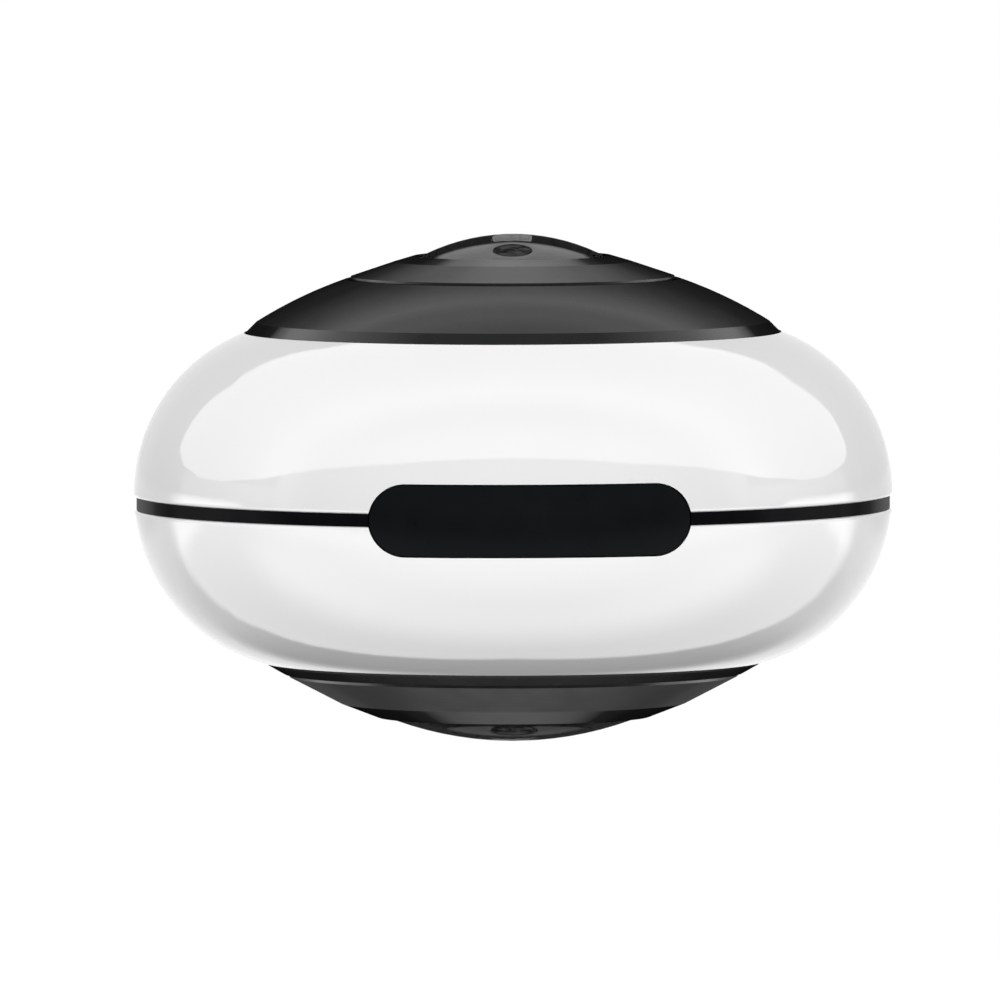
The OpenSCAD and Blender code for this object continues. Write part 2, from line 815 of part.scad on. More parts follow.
// Lens barrel: neck in the holder, wider head round the front lens, stepped bore for the lenses
module lens_barrel(side) {
    color([0.05, 0.05, 0.05]) facing(side) difference() {
        union() {
            between(foot_h, head_top(side) - bite, neck_r);
            between(lens_seat_h(side) - head_depth, head_top(side), head_r(side));
        }
        between(lens_seat_h(side), past, lens_r(side) + optic_clear);
        between(second_lens_h(side), past, second_lens_r + optic_clear);
        between(rear_lens_h, past, inner_lens_r + optic_clear);
        between(0, past, window_r);
    }
}

module upper_lens_barrel() {
    lens_barrel(upper);
}

module lower_lens_barrel() {
    lens_barrel(lower);
}

// Lens holder: square base over the sensor, tube for the barrel, four lugs under the shell's flange
module lens_holder(side) {
    top = flange_under(side);
    tube_r = neck_r + optic_clear + holder_wall;
    lug_neck = 2 * lug_r - inner_gap;
    color([0.1, 0.1, 0.11]) facing(side) difference() {
        union() {
            slab(holder_h, [sensor_board_w, sensor_board_w, holder_base_t]);
            between(holder_h, top, tube_r);
            ring_of(lug_angles, lug_screw_r) between(top - lug_t, top, lug_r);
            for (a = lug_angles) {
                rotate(a) translate([neck_r + holder_wall / 2, -lug_neck / 2, top - lug_t]) {
                    cube([lug_screw_r - neck_r - holder_wall / 2, lug_neck, lug_t]);
                }
            }
        }
        between(holder_h - bite, shelf_h, chamber_r);
        between(0, past, window_r);
        between(shelf_h + shelf_t, past, neck_r + optic_clear);
        ring_of(lug_angles, lug_screw_r) between(0, past, hole_r);
        for (s = [-1, 1]) {
            translate([s * sensor_screw_at, s * sensor_screw_at, 0]) between(0, top - lug_t - bite, hole_r);
        }
    }
}

module upper_lens_holder() {
    lens_holder(upper);
}

module lower_lens_holder() {
    lens_holder(lower);
}

module ir_filter(side) {
    color([0.4, 0.7, 0.8, 0.6]) facing(side) slab(shelf_h - filter_t, [filter_w, filter_w, filter_t]);
}

module upper_ir_filter() {
    ir_filter(upper);
}

module lower_ir_filter() {
    ir_filter(lower);
}

module image_sensor(side) {
    color([0.25, 0.3, 0.35]) facing(side) slab(holder_h, [sensor_w, sensor_w, sensor_t]);
}

module upper_image_sensor() {
    image_sensor(upper);
}

module lower_image_sensor() {
    image_sensor(lower);
}

module sensor_board(side) {
    color([0.05, 0.3, 0.15]) facing(side) difference() {
        slab(sensor_board_h, [sensor_board_w, sensor_board_w, sensor_board_t]);
        for (s = [-1, 1]) {
            translate([s * sensor_screw_at, s * sensor_screw_at, 0]) between(0, past, hole_r);
        }
    }
}

module upper_sensor_board() {
    sensor_board(upper);
}

module lower_sensor_board() {
    sensor_board(lower);
}

// Flex cable from under the sensor board's front edge down to its connector
module flex_cable(side) {
    high = sensor_board_h;
    low = board_t / 2 + connector_t + flex_t;
    start_y = sensor_board_w / 2 - flex_overlap;
    bend_y = sensor_board_w / 2 + flex_overlap;
    near_y = connector_at - connector_d / 2;
    far_y = connector_at + connector_d / 2;
    top_line = [[start_y, high], [bend_y, high], [near_y, low], [far_y, low]];
    bottom_line = [for (i = [3 : -1 : 0]) top_line[i] - [0, flex_t]];
    color([0.75, 0.45, 0.1]) facing(side) translate([-flex_w / 2, 0, 0]) {
        rotate([90, 0, 90]) mirror([1, 0]) linear_extrude(flex_w) polygon(concat(top_line, bottom_line));
    }
}

module upper_flex_cable() {
    flex_cable(upper);
}

module lower_flex_cable() {
    flex_cable(lower);
}

module flex_connector(side) {
    color([0.85, 0.82, 0.75]) facing(side) {
        translate([0, -connector_at, 0]) slab(board_t / 2, [connector_w, connector_d, connector_t]);
    }
}

module upper_flex_connector() {
    flex_connector(upper);
}

module lower_flex_connector() {
    flex_connector(lower);
}

// Main board on the frame's web, notched at the back for the plug and its collar
module main_board() {
    plug_notch = [plug_w + 2 * inner_gap, past, past];
    flange_notch = [collar_flange_w + 2 * inner_gap, past, past];
    color([0.04, 0.28, 0.14]) difference() {
        between(-board_t / 2, board_t / 2, board_r);
        translate([0, insulator_end_y - plate_gap + past / 2, 0]) slab(-past / 2, plug_notch);
        translate([0, collar_end_y - inner_gap + past / 2, 0]) slab(-past / 2, flange_notch);
        ring_of(pillar_angles, shell_screw_at) between(-past, past, pillar_hole_r);
        ring_of(board_screw_angles, board_screw_at) between(-past, past, hole_r);
    }
}

module image_processor() {
    color([0.1, 0.1, 0.1]) slab(board_t / 2, [processor_w, processor_w, processor_t]);
}

module thermal_pad() {
    color([0.6, 0.65, 0.75]) slab(board_t / 2 + processor_t, [processor_w, processor_w, pad_t]);
}

module shield_can() {
    inside_h = processor_t + pad_t;
    color("silver") difference() {
        slab(board_t / 2, [can_w, can_w, inside_h + can_wall]);
        slab(0, [can_w - 2 * can_wall, can_w - 2 * can_wall, board_t / 2 + inside_h]);
    }
}

module memory_chip() {
    color([0.1, 0.1, 0.1]) facing(lower) slab(board_t / 2, [memory_w, memory_w, memory_t]);
}

module power_chips() {
    color([0.12, 0.12, 0.12]) for (s = [-1, 1]) {
        translate([s * power_at, 0, 0]) slab(board_t / 2, [power_w, power_w, power_t]);
    }
}

module motion_sensor() {
    color([0.15, 0.15, 0.15]) translate([0, motion_at, 0]) {
        slab(board_t / 2, [motion_w, motion_w, motion_t]);
    }
}

// Four screws from the lower flange through frame and board into the upper shell's pillars
module shell_screws() {
    length = flange_top(lower) + board_t / 2 + shell_screw_grip;
    color("silver") facing(lower) ring_of(pillar_angles, shell_screw_at) {
        screw(flange_top(lower), shell_head_r, shell_head_h, shell_screw_r, length);
    }
}

// Four screws on each side from the holder's lugs into the shell's flange
module holder_screws() {
    color("silver") for (side = sides) {
        facing(side) ring_of(lug_angles, lug_screw_r) {
            mirror([0, 0, 1]) screw(
                lug_t - flange_under(side), small_head_r, small_head_h, small_screw_r, lug_t + flange_t
            );
        }
    }
}

module board_screws() {
    color("silver") ring_of(board_screw_angles, board_screw_at) {
        screw(board_t / 2, small_head_r, small_head_h, small_screw_r, board_t + web_t);
    }
}

// Two screws on each side from the sensor board into the holder's base
module sensor_board_screws() {
    color("silver") for (side = sides) {
        facing(side) for (s = [-1, 1]) {
            translate([s * sensor_screw_at, s * sensor_screw_at, 0]) mirror([0, 0, 1]) screw(
                -sensor_board_h, small_head_r, small_head_h, small_screw_r, sensor_board_t + holder_base_t
            );
        }
    }
}

in_frame() upper_shell();
in_frame() lower_shell();
in_frame() middle_frame();
in_frame() front_plate();
in_frame() plug_collar();
in_frame() usb_plug_shell();
in_frame() usb_plug_insulator();
in_frame() usb_plug_contacts();
in_frame() upper_cover();
in_frame() lower_cover();
in_frame() upper_cover_tape();
in_frame() lower_cover_tape();
in_frame() upper_trim_ring();
in_frame() lower_trim_ring();
in_frame() upper_barrel_seal();
in_frame() lower_barrel_seal();
in_frame() upper_front_lens();
in_frame() lower_front_lens();
in_frame() upper_second_lens();
in_frame() lower_second_lens();
in_frame() upper_third_lens();
in_frame() lower_third_lens();
in_frame() upper_rear_lens();
in_frame() lower_rear_lens();
in_frame() upper_aperture_stop();
in_frame() lower_aperture_stop();
in_frame() upper_lens_barrel();
in_frame() lower_lens_barrel();
in_frame() upper_lens_holder();
in_frame() lower_lens_holder();
in_frame() upper_ir_filter();
in_frame() lower_ir_filter();
in_frame() upper_image_sensor();
in_frame() lower_image_sensor();
in_frame() upper_sensor_board();
in_frame() lower_sensor_board();
in_frame() upper_flex_cable();
in_frame() lower_flex_cable();
in_frame() upper_flex_connector();
in_frame() lower_flex_connector();
in_frame() main_board();
in_frame() image_processor();
in_frame() thermal_pad();
in_frame() shield_can();
in_frame() memory_chip();
in_frame() power_chips();
in_frame() motion_sensor();
in_frame() shell_screws();
in_frame() holder_screws();
in_frame() board_screws();
in_frame() sensor_board_screws();
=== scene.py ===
"""Looks of the 360 degree camera, in metres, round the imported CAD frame.

Materials for the CAD nodes, one turned piece inside each lens, the studio and the camera.
"""
import json
import math

import bpy
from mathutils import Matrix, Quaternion, Vector

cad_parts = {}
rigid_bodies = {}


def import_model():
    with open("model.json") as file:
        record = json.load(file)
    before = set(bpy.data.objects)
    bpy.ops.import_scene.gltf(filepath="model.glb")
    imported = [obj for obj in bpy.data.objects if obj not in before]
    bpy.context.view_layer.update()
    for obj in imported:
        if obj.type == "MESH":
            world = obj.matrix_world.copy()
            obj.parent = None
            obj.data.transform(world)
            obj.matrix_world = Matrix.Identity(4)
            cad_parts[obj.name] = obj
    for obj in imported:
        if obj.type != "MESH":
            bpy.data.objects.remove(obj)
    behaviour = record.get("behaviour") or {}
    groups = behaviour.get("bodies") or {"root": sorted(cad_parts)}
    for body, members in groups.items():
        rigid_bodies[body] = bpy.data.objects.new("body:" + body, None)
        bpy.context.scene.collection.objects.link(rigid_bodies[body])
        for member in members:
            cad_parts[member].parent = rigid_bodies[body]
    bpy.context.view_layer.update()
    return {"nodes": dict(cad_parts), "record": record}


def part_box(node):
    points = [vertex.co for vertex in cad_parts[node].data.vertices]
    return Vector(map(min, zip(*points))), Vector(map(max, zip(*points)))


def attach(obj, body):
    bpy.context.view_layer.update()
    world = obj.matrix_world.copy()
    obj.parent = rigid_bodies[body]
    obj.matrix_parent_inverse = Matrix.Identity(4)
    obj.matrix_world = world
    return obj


for spare in list(bpy.data.objects):
    bpy.data.objects.remove(spare)
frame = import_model()
scene = bpy.context.scene
scene.view_settings.view_transform = "Standard"

MM = 0.001
WHITE = (1.0, 1.0, 1.0, 1.0)
upper_low, upper_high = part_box("upper_front_lens")
lower_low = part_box("lower_front_lens")[0]
# Foot of the optical axis at the origin's height, and how far the photograph sees the object turned
AXIS = Vector((0, (upper_low[1] + upper_high[1]) / 2, 0))
TURN = math.radians(2.7)


# Shader helpers

# Noise values between which a colour or a gloss runs from one end to the other
NOISE_SPAN = (0.3, 0.7)
CLOUD_DETAIL, FINE_DETAIL = 4.0, 2.0
GRAIN_MM = 0.08
GRAIN_DEPTH = 0.02 * MM


class Net:
    """Adds and links shader nodes in one tree."""

    def __init__(self, tree):
        self.tree = tree
        tree.nodes.clear()

    def add(self, kind, inputs=None, **settings):
        node = self.tree.nodes.new(kind)
        for key, value in settings.items():
            setattr(node, key, value)
        for key, value in (inputs or {}).items():
            if isinstance(value, bpy.types.NodeSocket):
                self.tree.links.new(value, node.inputs[key])
            else:
                node.inputs[key].default_value = value
        return node

    def math(self, operation, first, second=0.0):
        return self.add("ShaderNodeMath", {0: first, 1: second}, operation=operation).outputs[0]

    def invert(self, value):
        return self.math("SUBTRACT", 1.0, value)

    def step(self, value, low, high):
        """0 below low, 1 above high, smooth between."""
        inputs = {0: value, 1: low, 2: high}
        return self.add("ShaderNodeMapRange", inputs, interpolation_type="SMOOTHSTEP").outputs[0]

    def fall(self, value, low, high):
        """1 below low, 0 above high, smooth between."""
        return self.invert(self.step(value, low, high))

    def between(self, value, low, high, span):
        """Low to high in a straight line, as value runs over the span."""
        inputs = {0: value, 1: span[0], 2: span[1], 3: low, 4: high}
        return self.add("ShaderNodeMapRange", inputs).outputs[0]

    def product(self, *factors):
        result = factors[0]
        for factor in factors[1:]:
            result = self.math("MULTIPLY", result, factor)
        return result

    def total(self, *terms):
        result = terms[0]
        for term in terms[1:]:
            result = self.math("ADD", result, term)
        return result

    def bend(self, value, pieces):
        """Line from 0 that gains a slope past each limit, from (limit, slope) pieces."""
        rises = []
        for limit, slope in pieces:
            past = self.math("MAXIMUM", self.math("SUBTRACT", value, limit), 0.0)
            rises.append(self.product(past, slope))
        return self.total(*rises)

    def place(self):
        return self.add("ShaderNodeTexCoord").outputs["Object"]

    def noise(self, size_mm, detail):
        inputs = {"Vector": self.place(), "Scale": 1 / (size_mm * MM), "Detail": detail}
        return self.add("ShaderNodeTexNoise", inputs).outputs["Fac"]

    def ramp(self, value, dark, light, span=NOISE_SPAN):
        node = self.add("ShaderNodeValToRGB", {"Fac": value})
        for element, position, colour in zip(node.color_ramp.elements, span, (dark, light)):
            element.position = position
            element.color = [*colour, 1]
        return node.outputs["Color"]

    def mottled(self, cloud, colour, share, span=NOISE_SPAN):
        """Colour that wavers by this share along the cloud."""
        dark = [part * (1 - share) for part in colour]
        light = [min(1, part * (1 + share)) for part in colour]
        return self.ramp(cloud, dark, light, span)

    def bump(self, strength, height):
        inputs = {"Strength": strength, "Distance": GRAIN_DEPTH, "Height": height}
        return self.add("ShaderNodeBump", inputs).outputs["Normal"]

    def distance(self, start, end):
        return self.add("ShaderNodeVectorMath", {0: start, 1: end}, operation="DISTANCE").outputs["Value"]

    def from_axis(self):
        """Distance from the optical axis, in millimetres."""
        inputs = {0: self.place(), 1: (1, 1, 0)}
        level_place = self.add("ShaderNodeVectorMath", inputs, operation="MULTIPLY").outputs[0]
        return self.math("MULTIPLY", self.distance(level_place, AXIS), 1 / MM)

    def curve(self, points):
        """Straight pieces between points over 1 - cosine of the viewing angle: 0 straight on, 1 grazing."""
        facing = self.add("ShaderNodeLayerWeight", {"Blend": 0.5}).outputs["Facing"]
        node = self.add("ShaderNodeFloatCurve", {"Value": facing})
        line = node.mapping.curves[0]
        line.points[0].location, line.points[1].location = points[0], points[-1]
        for point in points[1:-1]:
            line.points.new(*point)
        for point in line.points:
            point.handle_type = "VECTOR"
        node.mapping.update()
        return node.outputs[0]

    def blend(self, factor, first, second):
        """Shader that goes from first to second as the factor goes from 0 to 1."""
        return self.add("ShaderNodeMixShader", {0: factor, 1: first, 2: second}).outputs[0]

    def sum_of(self, first, second):
        return self.add("ShaderNodeAddShader", {0: first, 1: second}).outputs[0]

    def glow(self, strength):
        return self.add("ShaderNodeEmission", {"Color": WHITE, "Strength": strength}).outputs[0]

    def clear(self, colour=WHITE):
        return self.add("ShaderNodeBsdfTransparent", {"Color": colour}).outputs[0]

    def matt(self, colour, **more):
        return self.add("ShaderNodeBsdfDiffuse", {"Color": colour, **more}).outputs[0]

    def sheen(self, colour, rough, **more):
        inputs = {"Color": colour, "Roughness": rough, **more}
        return self.add("ShaderNodeBsdfAnisotropic", inputs).outputs[0]

    def out(self, shader, kind="ShaderNodeOutputMaterial"):
        self.tree.links.new(shader, self.add(kind).inputs["Surface"])


def new_material(name):
    material = bpy.data.materials.new(name)
    material.use_nodes = True
    return material, Net(material.node_tree)


def surface(name, colour, rough, grain=0.0, mottle=0.06, mottle_mm=3.0, uneven=0.03, **sockets):
    """Moulded, painted or machined surface: mottled colour, uneven gloss, fine grain."""
    material, net = new_material(name)
    cloud = net.noise(mottle_mm, CLOUD_DETAIL)
    tint = net.mottled(cloud, colour, mottle)
    gloss = net.between(cloud, rough - uneven, rough + uneven, NOISE_SPAN)
    shader = net.add("ShaderNodeBsdfPrincipled", {"Base Color": tint, "Roughness": gloss})
    if grain:
        bump = net.bump(grain, net.noise(GRAIN_MM, FINE_DETAIL))
        net.tree.links.new(bump, shader.inputs["Normal"])
    for key, value in sockets.items():
        shader.inputs[key.replace("_", " ")].default_value = value
    net.out(shader.outputs[0])
    return material


SATIN_GRAIN, SATIN_UNEVEN = 0.08, 0.15
RIDGE_SHARE = 0.5
FACET_BLUR_MM = 0.04


def satin(name, colour, rough, curve, mottle=0.12, mottle_mm=2.0, span=NOISE_SPAN, ridges=0.0, facet=None):
    """Dark lacquer whose gloss follows its own curve of (1 - cosine of the viewing angle, reflectance).

    ridges is the spacing of fine turned rings in mm. facet is (radius in mm, curve): inside that radius
    about the optical axis the gloss follows the other curve.
    """
    material, net = new_material(name)
    cloud = net.noise(mottle_mm, CLOUD_DETAIL)
    tint = net.mottled(cloud, colour, mottle, span)
    height = net.noise(GRAIN_MM, FINE_DETAIL)
    if ridges:
        rings = net.math("SINE", net.product(net.from_axis(), 2 * math.pi / ridges))
        height = net.total(height, net.product(rings, RIDGE_SHARE))
    bump = net.bump(SATIN_GRAIN, height)
    gloss = net.between(cloud, rough * (1 - SATIN_UNEVEN), rough * (1 + SATIN_UNEVEN), NOISE_SPAN)
    reflectance = net.curve(curve)
    if facet:
        radius, inner_curve = facet
        outside = net.step(net.from_axis(), radius - FACET_BLUR_MM, radius + FACET_BLUR_MM)
        choice = {"Factor": outside, 2: net.curve(inner_curve), 3: reflectance}
        reflectance = net.add("ShaderNodeMix", choice, data_type="FLOAT").outputs[0]
    net.out(net.blend(reflectance, net.matt(tint, Normal=bump), net.sheen(WHITE, gloss, Normal=bump)))
    return material


GLASS_IOR = 1.5
GLASS_TINT = (0.95, 0.95, 0.95, 1)
DOME_SKIN = 0.03 * MM
DOME_FILM_MM, INNER_FILM_MM = 2.5, 1.5
DOME_ROUGH = (0.02, 0.05)


def dome_glass(name, rim_mm, high_mm, apex_z, curve):
    """Front lens: a coated dome that refracts; its other faces are bonded and pass light straight on."""
    ball = (rim_mm ** 2 + high_mm ** 2) / (2 * high_mm) * MM
    centre = Vector((AXIS.x, AXIS.y, apex_z - math.copysign(ball, apex_z)))
    material, net = new_material(name)
    on_dome = net.math("GREATER_THAN", net.distance(net.place(), centre), ball - DOME_SKIN)
    film = net.noise(DOME_FILM_MM, FINE_DETAIL)
    glass = {"Color": GLASS_TINT, "Roughness": 0.0, "IOR": GLASS_IOR}
    body = net.add("ShaderNodeBsdfRefraction", glass).outputs[0]
    coat_tint = net.ramp(film, (0.96, 0.95, 1.0), (1.0, 0.99, 0.95))
    coat = net.sheen(coat_tint, net.between(film, *DOME_ROUGH, (0, 1)))
    bonded = net.clear(net.ramp(film, (0.97, 0.98, 0.98), (0.99, 0.99, 1.0)))
    net.out(net.blend(on_dome, bonded, net.blend(net.curve(curve), body, coat)))
    return material


COAT_IOR, COAT_ROUGH = 1.02, 0.1


def bonded_glass(name, dark, light):
    """Inner lens or filter: clear, tinted, with a faint coated gloss."""
    material, net = new_material(name)
    tint = net.ramp(net.noise(INNER_FILM_MM, FINE_DETAIL), dark, light)
    coat = net.add("ShaderNodeFresnel", {"IOR": COAT_IOR}).outputs[0]
    net.out(net.blend(coat, net.clear(tint), net.sheen(tint, COAT_ROUGH)))
    return material


# Looks of the CAD nodes, by material slot or by the node's own name, which goes first

COVER_GREY, TRIM_GREY = (0.008, 0.0084, 0.0084), (0.01, 0.0104, 0.0106)
PLATE_BLACK, LENS_BLACK = (0.0052, 0.0064, 0.007), (0.004, 0.004, 0.004)

# Gloss curves of (1 - cosine of the viewing angle, reflectance); facets lie inside the radii below
BAND_GLOSS = [(0, 0.002), (0.5, 0.004), (0.6, 0.007), (0.68, 0.018), (0.74, 0.05), (0.82, 0.08), (1, 0.12)]
PLATE_GLOSS = [(0, 0.002), (0.6, 0.006), (1, 0.1)]
COVER_GLOSS = [
    (0, 0.006), (0.29, 0.009), (0.45, 0.028), (0.49, 0.036), (0.52, 0.037),
    (0.56, 0.048), (0.62, 0.036), (0.7, 0.023), (0.78, 0.009), (1, 0),
]
BEVEL_GLOSS = [
    (0, 0.006), (0.3, 0.008), (0.45, 0.042), (0.52, 0.07), (0.6, 0.097),
    (0.64, 0.066), (0.68, 0.006), (0.75, 0.002), (1, 0),
]
LOWER_COVER_GLOSS = [(0, 0.006), (0.5, 0.014), (0.62, 0.02), (0.75, 0.008), (1, 0)]
TRIM_GLOSS = [
    (0, 0.014), (0.4, 0.043), (0.6, 0.078), (0.7, 0.076),
    (0.74, 0.056), (0.81, 0.018), (0.9, 0.003), (1, 0),
]
FACET_GLOSS = [
    (0, 0.014), (0.5, 0.085), (0.63, 0.14), (0.68, 0.137),
    (0.715, 0.115), (0.745, 0.02), (0.79, 0.003), (1, 0),
]
LOWER_TRIM_GLOSS = [
    (0, 0.015), (0.4, 0.063), (0.59, 0.093), (0.65, 0.084),
    (0.7, 0.064), (0.78, 0.042), (0.86, 0.04), (1, 0.05),
]
LOWER_FACET_GLOSS = [
    (0, 0.012), (0.5, 0.1), (0.66, 0.163), (0.7, 0.157),
    (0.725, 0.112), (0.755, 0.015), (0.8, 0.003), (1, 0),
]
DOME_GLOSS = [(0, 0.006), (0.6, 0.006), (0.7, 0.013), (0.9, 0.015), (1, 0.03)]
COVER_FACET_MM, TRIM_FACET_MM, LOWER_FACET_MM = 14.42, 6.65, 9.7
RING_SPACING_MM = 0.4
# Rim radius and height of each dome in mm
UPPER_DOME, LOWER_DOME = (5.3, 1.32), (7.4, 1.46)

LOOKS = {
    "white_shell": surface(
        "white_shell_look", (0.87, 0.87, 0.875), 0.05, mottle=0.006, mottle_mm=6, uneven=0.01, IOR=1.93
    ),
    "black_band": satin("black_band_look", (0.004, 0.004, 0.005), 0.14, BAND_GLOSS),
    "black_plate": satin("black_plate_look", PLATE_BLACK, 0.3, PLATE_GLOSS),
    "black_collar": satin("black_collar_look", PLATE_BLACK, 0.3, PLATE_GLOSS),
    "plug_steel": surface(
        "plug_steel_look", (0.3, 0.297, 0.292), 0.28, 0.1, mottle=0.05, Metallic=1.0, Anisotropic=0.4
    ),
    "plug_plastic": surface("plug_plastic_look", (0.012, 0.012, 0.013), 0.45, 0.2),
    "contact_gold": surface("contact_gold_look", (0.85, 0.6, 0.22), 0.22, Metallic=1.0),
    "grey_cover": satin(
        "grey_cover_look", COVER_GREY, 0.26, BEVEL_GLOSS, facet=(COVER_FACET_MM, COVER_GLOSS)
    ),
    "grey_trim": satin("grey_trim_look", TRIM_GREY, 0.2, TRIM_GLOSS, facet=(TRIM_FACET_MM, FACET_GLOSS)),
    "adhesive": surface("adhesive_look", (0.08, 0.08, 0.08), 0.8, 0.5),
    "black_seal": surface("black_seal_look", (0.01, 0.01, 0.01), 0.6, 0.3),
    "black_stop": surface("black_stop_look", LENS_BLACK, 0.55, 0.2, Specular_IOR_Level=0.1),
    "black_barrel": surface("black_barrel_look", LENS_BLACK, 0.5, 0.2, Specular_IOR_Level=0.1),
    "black_holder": surface("black_holder_look", (0.015, 0.015, 0.016), 0.5, 0.3),
    "sensor_face": surface("sensor_face_look", (0.03, 0.035, 0.05), 0.15),
    "board_green": surface("board_green_look", (0.012, 0.09, 0.04), 0.35, 0.2),
    "flex_amber": surface("flex_amber_look", (0.35, 0.15, 0.02), 0.35),
    "connector_beige": surface("connector_beige_look", (0.6, 0.55, 0.45), 0.45),
    "chip_black": surface("chip_black_look", (0.015, 0.015, 0.015), 0.5, 0.3),
    "pad_grey": surface("pad_grey_look", (0.2, 0.23, 0.28), 0.7),
    "can_steel": surface("can_steel_look", (0.55, 0.55, 0.54), 0.3, Metallic=1.0),
    "screw_steel": surface("screw_steel_look", (0.5, 0.5, 0.5), 0.3, Metallic=1.0),
    "inner_glass": bonded_glass("inner_glass_look", (0.95, 0.95, 0.95), (0.98, 0.98, 0.98)),
    "filter_glass": bonded_glass("filter_glass_look", (0.45, 0.75, 0.8), (0.5, 0.72, 0.78)),
    "upper_front_lens": dome_glass("upper_dome_look", *UPPER_DOME, upper_high[2], DOME_GLOSS),
    "lower_front_lens": dome_glass("lower_dome_look", *LOWER_DOME, lower_low[2], DOME_GLOSS),
    "lower_trim_ring": satin(
        "lower_trim_look", TRIM_GREY, 0.2, LOWER_TRIM_GLOSS,
        ridges=RING_SPACING_MM, facet=(LOWER_FACET_MM, LOWER_FACET_GLOSS),
    ),
    "lower_cover": satin("lower_cover_look", COVER_GREY, 0.26, LOWER_COVER_GLOSS),
}

for part in frame["record"]["subparts"]:
    node = frame["nodes"][part["node"]]
    look = LOOKS.get(part["node"]) or LOOKS[part["material_slot"]]
    for holder in node.material_slots:
        holder.material = look


# Lens insides, as the front lenses show them: a small bead for the aperture, with lighter spots in its
# colour that are painted glints, in a shallow black cap
# whose colour holds a painted reflection: light at a low viewing angle, where the lens faces behind it
# would reflect, and black from further up

BEAD_GREY, CAP_BLACK = (0.05, 0.047, 0.048), (0.005, 0.005, 0.005)
BEAD_GLOSS = [(0, 0.006), (0.7, 0.01), (1, 0.06)]
# Strong, narrow mottle on the bead: random lighter spots in its colour, which are painted glints
BEAD_MOTTLE_AND_PAINTED_GLINTS = {"mottle": 0.85, "mottle_mm": 0.6, "span": (0.45, 0.6)}
# Share of painted reflection in the cap's colour, over 1 - cosine of the viewing angle
PAINTED_REFLECTION_SHARE = [(0, 0), (0.428, 0), (0.443, 1), (0.48, 0.72), (0.55, 0.45), (1, 0.3)]
SPECK_MM, SPECK_DETAIL, SPECK_DARK = 0.7, 3.0, (0.92, 0.92, 0.92)
# Bead: its tip, then (share of its radius, height); the groove round it; heights and depths in mm
TIP_R, TIP_HIGH = 0.02, 0.14
BEAD_SHAPE = [(0.3, 0.13), (0.55, 0.1), (0.78, 0.05), (0.94, 0)]
GROOVE_SHAPE = [(0.97, -0.06), (1.03, -0.06), (1.06, 0)]
CAP_START, CAP_STEPS, CAP_DEEP = 1.06, 12, 0.4
CAP_CURVE = 42
BEAD_PART, DARK_PART, CAP_PART = 0, 1, 2


def around(radius, number, sides):
    """Point of that number on a circle of so many points."""
    angle = 2 * math.pi * number / sides
    return radius * math.cos(angle), radius * math.sin(angle)


def turned(name, profile, materials, sides=128):
    """Solid of revolution about the optical axis from (radius, height, material number) points in mm."""
    points, faces, numbers = [], [], []
    for radius, height, _ in profile:
        for i in range(sides):
            x, y = around(radius * MM, i, sides)
            points.append((AXIS.x + x, AXIS.y + y, height * MM))
    for row in range(len(profile) - 1):
        first, second = row * sides, (row + 1) * sides
        for i in range(sides):
            j = (i + 1) % sides
            faces.append((first + i, first + j, second + j, second + i))
            numbers.append(profile[row + 1][2])
    faces += [tuple(range(sides)), tuple(range((len(profile) - 1) * sides, len(profile) * sides))]
    numbers += [profile[0][2], profile[-1][2]]
    mesh = bpy.data.meshes.new(name)
    mesh.from_pydata(points, [], faces)
    for material in materials:
        mesh.materials.append(material)
    mesh.polygons.foreach_set("material_index", numbers)
    mesh.update()
    obj = bpy.data.objects.new(name, mesh)
    scene.collection.objects.link(obj)
    return obj


def painted_reflection(name, dark, light, curve):
    """Painted reflection: matt colour that turns from dark to light along the curve of (1 - cosine of the
    viewing angle, share of light).
    """
    material, net = new_material(name)
    choice = {"Factor": net.curve(curve), 6: (*dark, 1), 7: (*light, 1)}
    shine = net.add("ShaderNodeMix", choice, data_type="RGBA").outputs[2]
    speck = net.ramp(net.noise(SPECK_MM, SPECK_DETAIL), SPECK_DARK, WHITE[:3])
    tint = net.add("ShaderNodeVectorMath", {0: shine, 1: speck}, operation="MULTIPLY").outputs[0]
    net.out(net.matt(tint))
    return material


def lens_inside(name, side, high, bead_r, cap_r, light):
    """Bead of radius bead_r on a cap of radius cap_r, at that height on side 1 (up) or -1 (down), in mm;
    light is the brightness of the cap's painted reflection.
    """
    # Bead colour with painted glints as lighter mottled spots
    bead = satin(name + "_bead", BEAD_GREY, 0.12, BEAD_GLOSS, **BEAD_MOTTLE_AND_PAINTED_GLINTS)
    # Cap colour with a painted reflection that grows towards a low viewing angle
    cap = painted_reflection(name + "_painted_reflection_cap", CAP_BLACK, (light, light, light), PAINTED_REFLECTION_SHARE)
    profile = [(TIP_R, TIP_HIGH, BEAD_PART)]
    profile += [(share * bead_r, height, BEAD_PART) for share, height in BEAD_SHAPE]
    profile += [(share * bead_r, height, DARK_PART) for share, height in GROOVE_SHAPE]
    start = CAP_START * bead_r
    for i in range(1, CAP_STEPS + 1):
        radius = start + (cap_r - start) * i / CAP_STEPS
        profile.append((radius, -radius ** 2 / (2 * CAP_CURVE), CAP_PART))
    profile += [(cap_r, -CAP_DEEP, DARK_PART), (TIP_R, -CAP_DEEP, DARK_PART)]
    placed = [(radius, side * (high + height), number) for radius, height, number in profile]
    obj = turned(name, placed, [bead, LOOKS["black_stop"], cap])
    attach(obj, "root")


# Last number: brightness of each cap's painted reflection
lens_inside("upper_lens_inside", 1, 11.87, 0.83, 3.85, 0.4)
lens_inside("lower_lens_inside", -1, 8.9, 1.0, 3.15, 0.14)


# Studio

GLOSS_ONLY = ("camera", "diffuse", "transmission", "shadow", "volume_scatter")


